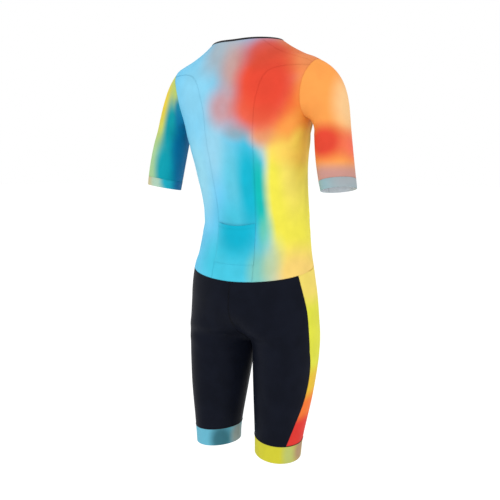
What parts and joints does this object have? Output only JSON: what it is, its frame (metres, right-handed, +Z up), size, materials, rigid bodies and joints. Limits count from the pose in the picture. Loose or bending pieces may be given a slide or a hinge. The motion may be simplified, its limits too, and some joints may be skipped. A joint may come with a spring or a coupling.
{
  "type": "triathlon suit",
  "caption": "Short-sleeved one-piece triathlon suit in its hollow worn form, with a front zip, a back pocket, printed bodice and black shorts with gripper bands.",
  "frame": {"origin": "midway between the two shoulder points, inside the suit, where the wearer's shoulders carry it", "axes": "+Z up along the wearer's body, -Y the way the wearer faces, +X towards the wearer's left"},
  "size_m": [0.5666, 0.2438, 1.0119],
  "materials": {
    "printed_knit": "satin stretch knit with a soft printed colour blend",
    "black_knit": "satin black stretch knit",
    "gripper_band": "printed elastic band",
    "neck_binding": "matt black binding",
    "zip_tape": "black woven tape with nylon coils",
    "zip_hardware": "black coated slider and pull"
  },
  "bodies": {
    "suit": {"back_centre": "printed_knit", "back_side_left": "printed_knit", "back_side_right": "printed_knit", "front_left": "printed_knit", "front_right": "printed_knit", "sleeve_left": "printed_knit", "sleeve_right": "printed_knit", "sleeve_band_left": "gripper_band", "sleeve_band_right": "gripper_band", "collar": "neck_binding", "pocket": "printed_knit", "pocket_hem": "printed_knit", "shorts_front_left": "black_knit", "shorts_front_right": "black_knit", "side_panel_left": "printed_knit", "side_panel_right": "printed_knit", "shorts_back_left": "black_knit", "shorts_back_right": "black_knit", "leg_band_left": "gripper_band", "leg_band_right": "gripper_band", "zip_tape_left": "zip_tape", "zip_tape_right": "zip_tape", "zip_coils": "zip_tape", "zip_slider": "zip_hardware"},
    "pull": {"zip_pull": "zip_hardware"}
  },
  "joints": [
    {"name": "pull_tab_swing", "type": "hinge", "parent": "suit", "child": "pull", "pos_m": [0, -0.08885, -0.00418], "axis": [-1, 0, 0], "range_deg": [0, 160]}
  ]
}
